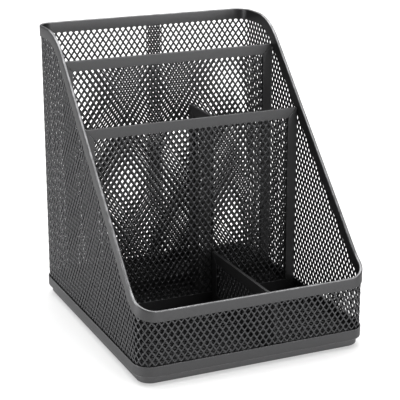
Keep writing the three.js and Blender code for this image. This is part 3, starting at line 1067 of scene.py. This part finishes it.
class ORGANIZER_OT_balls(bpy.types.Operator):
    """Grind one bearing ball and lay a copy in each of the cage's holes"""

    bl_idname = "organizer.balls"
    bl_label = "Bearing Balls"

    def execute(self, context):
        low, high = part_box("ball_1")
        radius = (high.z - low.z) / 2
        put_down()
        bpy.ops.mesh.primitive_cube_add(size=2 * radius)
        first = bpy.context.view_layer.objects.active
        apply_modifier(first, "SUBSURF", levels=BALL_LEVELS, render_levels=BALL_LEVELS)
        apply_modifier(first, "CAST", factor=1.0, radius=radius, use_radius_as_size=False)
        open_mesh(first)
        reach = max(v.co.length for v in parts_of(first, "VERT"))
        bpy.ops.transform.resize(value=(radius / reach,) * 3)
        put_down()
        smooth(first, BALL_SMOOTH)
        for place in range(1, BALLS + 1):
            node = f"ball_{place}"
            low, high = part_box(node)
            ball = bpy.data.objects.new(f"bearing_{node}", first.data.copy())
            bpy.context.scene.collection.objects.link(ball)
            shift(ball, (low + high) / 2)
            finish_piece(ball, "ball", "ball_ring", node)
        bpy.data.objects.remove(first)
        return {"FINISHED"}


# --- floor, light and camera ---

FLOOR_SIZE = 12.0
FLOOR_CLOUDS = 2.0  # waves per metre of the paper's faint change of tone
SENSOR = 36.0  # millimetres
NEAREST, FURTHEST = 0.05, 50.0  # what the camera sees lies between these distances
LIGHTS = (  # name, place, width, and the setting that holds its power
    ("key_light", (0.2, 0.6, 2.4), 4.0, "key"),
    ("fill_light", (0.8, -1.9, 0.7), 1.2, "fill"),
    ("side_light", (-1.1, 0.1, 0.16), 0.3, "side"),
)


class ORGANIZER_OT_stage(bpy.types.Operator):
    """Set the floor, the lights and the camera"""

    bl_idname = "organizer.stage"
    bl_label = "Stage"

    def execute(self, context):
        stage = context.scene.organizer_stage
        self.floor(stage)
        for name, place, width, power in LIGHTS:
            self.light(name, place, width, getattr(stage, power))
        context.scene.world = self.world(stage)
        context.scene.view_settings.view_transform = "Standard"
        context.scene.view_settings.exposure = stage.exposure
        context.scene.view_settings.gamma = stage.gamma
        self.camera(context, stage)
        return {"FINISHED"}

    def floor(self, stage):
        """Pale paper that glows, by one amount in sight and by another for the light it gives."""
        put_down()
        bpy.ops.mesh.primitive_plane_add(size=FLOOR_SIZE)
        floor = bpy.context.view_layer.objects.active
        floor.name = floor.data.name = "studio_floor"
        material, tree, shader = new_finish("Floor paper")
        place = tree.nodes.new("ShaderNodeTexCoord").outputs["Object"]
        clouds = noise(tree, place, FLOOR_CLOUDS, detail=2.0)
        tone = mix_colours(tree, clouds, shade(stage.floor, 0.99), shade(stage.floor, 1.01))
        tree.links.new(tone, shader.inputs["Base Color"])
        shader.inputs["Roughness"].default_value = 0.9
        shader.inputs["Specular IOR Level"].default_value = 0.2
        shader.inputs["Emission Color"].default_value = WHITE
        seen = tree.nodes.new("ShaderNodeLightPath").outputs["Is Camera Ray"]
        glow = maths(tree, "MULTIPLY_ADD", seen, stage.paper - stage.glow, stage.glow)
        tree.links.new(glow, shader.inputs["Emission Strength"])
        floor.data.materials.append(material)

    def world(self, stage):
        """A white backdrop in sight, and a dimmer room for the light that it gives."""
        world = bpy.data.worlds.new("Studio room")
        world.use_nodes = True
        tree = world.node_tree
        room = tree.nodes["Background"]
        room.inputs["Color"].default_value = WHITE
        room.inputs["Strength"].default_value = stage.room
        backdrop = tree.nodes.new("ShaderNodeBackground")
        backdrop.inputs["Color"].default_value = WHITE
        backdrop.inputs["Strength"].default_value = stage.backdrop
        sight = tree.nodes.new("ShaderNodeLightPath").outputs["Is Camera Ray"]
        choice = tree.nodes.new("ShaderNodeMixShader")
        tree.links.new(sight, choice.inputs["Fac"])
        tree.links.new(room.outputs[0], choice.inputs[1])
        tree.links.new(backdrop.outputs[0], choice.inputs[2])
        tree.links.new(choice.outputs[0], tree.nodes["World Output"].inputs["Surface"])
        return world

    def light(self, name, place, width, power):
        put_down()
        bpy.ops.object.light_add(type="AREA", location=place)
        lamp = bpy.context.view_layer.objects.active
        lamp.name = lamp.data.name = name
        lamp.data.size = width
        lamp.data.energy = power
        lamp.rotation_euler = Vector(place).to_track_quat("Z", "Y").to_euler()

    def camera(self, context, stage):
        put_down()
        bpy.ops.object.camera_add(location=stage.camera)
        camera = bpy.context.view_layer.objects.active
        camera.name = "studio_camera"
        back = Vector(stage.camera) - Vector(stage.target)
        camera.rotation_euler = back.to_track_quat("Z", "Y").to_euler()
        camera.data.sensor_width = SENSOR
        camera.data.lens = stage.lens
        camera.data.clip_start = NEAREST
        camera.data.clip_end = FURTHEST
        context.scene.camera = camera


class ORGANIZER_PT_build(bpy.types.Panel):
    """Lists what the organizer is made of"""

    bl_label = "Desk Organizer"
    bl_idname = "ORGANIZER_PT_build"
    bl_space_type = "VIEW_3D"
    bl_region_type = "UI"
    bl_category = "Organizer"

    def draw(self, context):
        layout = self.layout
        for step in STEPS:
            layout.operator(step.bl_idname)
        for label in GROUP_PROPERTIES:
            box = layout.box()
            settings = getattr(context.scene, label)
            for name in settings.__annotations__:
                box.prop(settings, name)


STEPS = (
    ORGANIZER_OT_wall_mesh,
    ORGANIZER_OT_floor_mesh,
    ORGANIZER_OT_divider_meshes,
    ORGANIZER_OT_top_rim,
    ORGANIZER_OT_divider_bars,
    ORGANIZER_OT_pan,
    ORGANIZER_OT_base_tray,
    ORGANIZER_OT_races,
    ORGANIZER_OT_rivets,
    ORGANIZER_OT_balls,
    ORGANIZER_OT_stage,
)
GROUP_PROPERTIES = {
    "organizer_shell": ShellSizes,
    "organizer_mesh": MeshSizes,
    "organizer_edges": EdgeSizes,
    "organizer_colours": FinishColours,
    "organizer_stage": StageSettings,
}
CLASSES = (*GROUP_PROPERTIES.values(), *STEPS, ORGANIZER_PT_build)


def register():
    for made in CLASSES:
        bpy.utils.register_class(made)
    for label, made in GROUP_PROPERTIES.items():
        setattr(bpy.types.Scene, label, PointerProperty(type=made))


def unregister():
    for label in GROUP_PROPERTIES:
        delattr(bpy.types.Scene, label)
    for made in reversed(CLASSES):
        bpy.utils.unregister_class(made)


def main():
    register()
    build_finishes()
    for step in STEPS:
        group, name = step.bl_idname.split(".")
        getattr(getattr(bpy.ops, group), name)()
    put_down()


if __name__ == "__main__":
    main()
